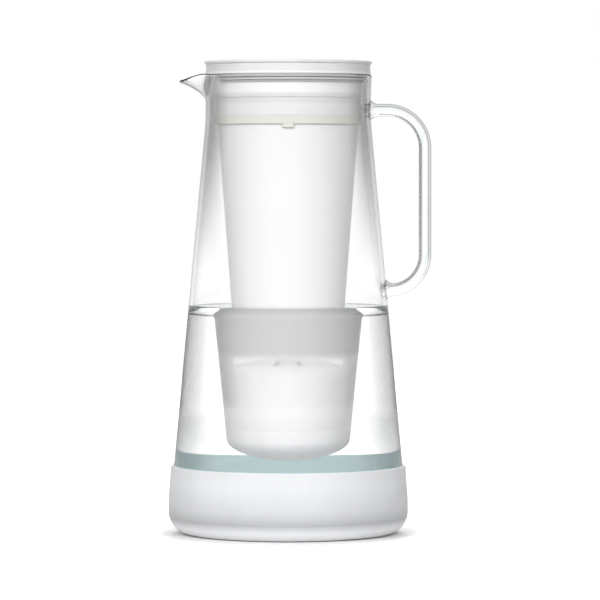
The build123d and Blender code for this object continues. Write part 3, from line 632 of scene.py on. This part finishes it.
# Painted shade on the collar: 0.87 low down, a 0.80 band below the top, full at the top.
COLLAR_PAINTED_SHADE = [(0.0, 0.87), (0.30, 0.87), (0.35, 0.80), (0.52, 0.80), (0.58, 1.0), (1.0, 1.0)]
silicone = moulded("white_silicone", (0.935, 0.945, 0.96), 0.75, grain=0.12, grain_scale=1400,
                   subsurface=0.05, painted_shade_bands=(*BOOT_SHADE, BOOT_PAINTED_SHADE), specular=0.2)
satin = moulded("white_plastic", (0.95, 0.95, 0.945), 0.4, grain=0.05, grain_scale=700, specular=0.3)
collar_plastic = moulded("collar_plastic", (0.925, 0.925, 0.92), 0.4, grain=0.05, grain_scale=700,
                         specular=0.3, painted_shade_bands=(*COLLAR_SHADE, COLLAR_PAINTED_SHADE))
lid_plastic = moulded("lid_plastic", (0.80, 0.80, 0.79), 0.38, grain=0.05, grain_scale=700, specular=0.3)
matte = moulded("cartridge_plastic", (0.92, 0.92, 0.92), 0.5, grain=0.08)
dress(silicone, "base_boot")
dress(satin, "lid_plug")
dress(collar_plastic, "collar")
dress(translucent_plastic("cap_plastic", (0.94, 0.94, 0.945), 0.6), "bottom_cap")
dress(lid_plastic, "lid_ring", "flip_cover")
dress(matte, "carbon_canister", "carbon_cover")
dress(translucent_plastic("milky_plastic", (0.66, 0.66, 0.66), 0.9), "divider_plate", "membrane_housing")
dress(moulded("grey_silicone", (0.62, 0.63, 0.64), 0.55, grain=0.1),
      "rim_gasket", "divider_seal", "lid_seal", "cover_gasket")
dress(moulded("clear_silicone", (0.76, 0.76, 0.70), 0.4, subsurface=0.2), "collar_seal")
dress(frosted_plastic(), "reservoir")
dress(moulded("black_rubber", (0.045, 0.045, 0.05), 0.55, grain=0.1), "cap_o_ring", "nozzle_o_ring")
dress(moulded("strainer_mesh", (0.80, 0.82, 0.83), 0.55, grain=0.3, grain_scale=1800), "outlet_mesh")
dress(moulded("carbon", (0.04, 0.04, 0.045), 0.6, grain=1.0, grain_scale=1200, spread=0.3),
      "carbon_media")
dress(moulded("resin", (0.72, 0.56, 0.30), 0.35, grain=1.0, grain_scale=1300, spread=0.15),
      "ion_resin")
dress(moulded("felt", (0.90, 0.90, 0.88), 0.95, grain=0.9, grain_scale=2200),
      "upper_felt", "lower_felt")
dress(moulded("potting_resin", (0.80, 0.74, 0.58), 0.2, coat=0.3), "fibre_potting")
dress(moulded("membrane", (0.93, 0.93, 0.92), 0.7, grain=0.3, grain_scale=2500), "membrane_fibres")
dress(moulded("blue_plastic", (0.45, 0.60, 0.68), 0.4, grain=0.05), "membrane_cap")
dress(brushed_steel(), "hinge_pin")


# ---- floor, world, lamps and camera -------------------------------------

def floor():
    """A matt floor that shows white beyond the object's shadow."""
    half = FLOOR_HALF
    corners = [(-half, -half, 0), (half, -half, 0), (half, half, 0), (-half, half, 0)]
    plane = new_piece("floor", corners, [(0, 1, 2, 3)], smooth=False)
    m = Nodes("floor")
    place = m.add("ShaderNodeTexCoord")
    reach = m.add("ShaderNodeVectorMath", operation="LENGTH")
    m.tree.links.new(place.outputs["Object"], reach.inputs[0])
    matte_white = m.add("ShaderNodeBsdfDiffuse")
    table = m.ramp(reach.outputs["Value"], [(0.15, 0.86), (0.40, 0.25)])
    m.tree.links.new(table, matte_white.inputs["Color"])
    away = m.add("ShaderNodeMapRange", interpolation_type="SMOOTHSTEP")
    away.inputs["From Min"].default_value = SHADOW_NEAR
    away.inputs["From Max"].default_value = SHADOW_FAR
    away.inputs["To Min"].default_value = SHADOW_GLOW
    m.tree.links.new(reach.outputs["Value"], away.inputs["Value"])
    glow = m.add("ShaderNodeEmission")
    m.tree.links.new(away.outputs[0], glow.inputs["Strength"])
    both = m.add("ShaderNodeAddShader")
    m.tree.links.new(matte_white.outputs[0], both.inputs[0])
    m.tree.links.new(glow.outputs[0], both.inputs[1])
    path = m.add("ShaderNodeLightPath")
    seen = m.math("MAXIMUM", path.outputs["Is Camera Ray"], path.outputs["Is Transmission Ray"])
    seen = m.math("MAXIMUM", seen, path.outputs["Is Glossy Ray"])
    plane.data.materials.append(m.finish(m.mix(seen, matte_white.outputs[0], both.outputs[0])))


def world():
    """White where it is seen, reflected or refracted, and a plain level where it lights."""
    surround = bpy.data.worlds.new("world")
    bpy.context.scene.world = surround
    surround.use_nodes = True
    tree = surround.node_tree
    tree.nodes.clear()
    path = tree.nodes.new("ShaderNodeLightPath")
    seen = path.outputs["Is Camera Ray"]
    for kind in ("Is Transmission Ray", "Is Glossy Ray"):
        either = tree.nodes.new("ShaderNodeMath")
        either.operation = "MAXIMUM"
        tree.links.new(seen, either.inputs[0])
        tree.links.new(path.outputs[kind], either.inputs[1])
        seen = either.outputs[0]
    strength = tree.nodes.new("ShaderNodeMapRange")
    tree.links.new(seen, strength.inputs["Value"])
    strength.inputs["To Min"].default_value = AMBIENT
    strength.inputs["To Max"].default_value = 1.0
    sky = tree.nodes.new("ShaderNodeBackground")
    sky.inputs["Color"].default_value = (1, 1, 1, 1)
    tree.links.new(strength.outputs[0], sky.inputs["Strength"])
    out = tree.nodes.new("ShaderNodeOutputWorld")
    tree.links.new(sky.outputs[0], out.inputs["Surface"])


def lamp(name, place, target, size, power):
    """A soft lamp that lights the object but isn't seen or mirrored in it."""
    light = bpy.data.lights.new(name, "AREA")
    light.shape = "RECTANGLE"
    light.size, light.size_y = size
    light.energy = power
    item = bpy.data.objects.new(name, light)
    item.location = place
    item.rotation_euler = (Vector(target) - Vector(place)).to_track_quat("-Z", "Y").to_euler()
    item.visible_camera = False
    item.visible_glossy = False
    item.visible_transmission = False
    bpy.context.scene.collection.objects.link(item)


FLOOR_HALF = 6.0
SHADOW_NEAR = 0.068            # the floor keeps the object's shadow up to here
SHADOW_FAR = 0.098             # and is plain white from here
SHADOW_GLOW = 0.06             # how much the floor glows where it keeps the shadow
AMBIENT = 0.11                 # how much the world lights the object
LAMP_AIM = (0, 0, 0.12)
LAMP_SIZE = (0.9, 0.9)

CAMERA_DISTANCE = 2.22
CAMERA_HEIGHT = 0.202
CAMERA_SIDE = 0.0067
CAMERA_DIP = math.radians(1.78)
FOCAL = 233.8

camera_data = bpy.data.cameras.new("camera")
camera_data.lens = FOCAL
camera_data.sensor_width = 36.0
camera = bpy.data.objects.new("camera", camera_data)
camera.location = (CAMERA_SIDE, -CAMERA_DISTANCE, CAMERA_HEIGHT)
camera.rotation_euler = (math.pi / 2 - CAMERA_DIP, 0, 0)
bpy.context.scene.collection.objects.link(camera)
bpy.context.scene.camera = camera

floor()
world()
lamp("left", (-0.68, -1.37, 0.90), LAMP_AIM, LAMP_SIZE, 16.5)
lamp("right", (0.52, -1.44, 0.90), LAMP_AIM, LAMP_SIZE, 12.5)
lamp("back", (0.10, 1.55, 0.90), LAMP_AIM, LAMP_SIZE, 24)
lamp("top", (0.0, -0.1, 1.5), (0, 0, 0.1), (1.2, 1.2), 5)

bpy.context.scene.view_settings.view_transform = "Standard"
cycles = bpy.context.scene.cycles
cycles.max_bounces = 24
cycles.transmission_bounces = 20
cycles.transparent_max_bounces = 24
cycles.diffuse_bounces = 4
cycles.glossy_bounces = 6
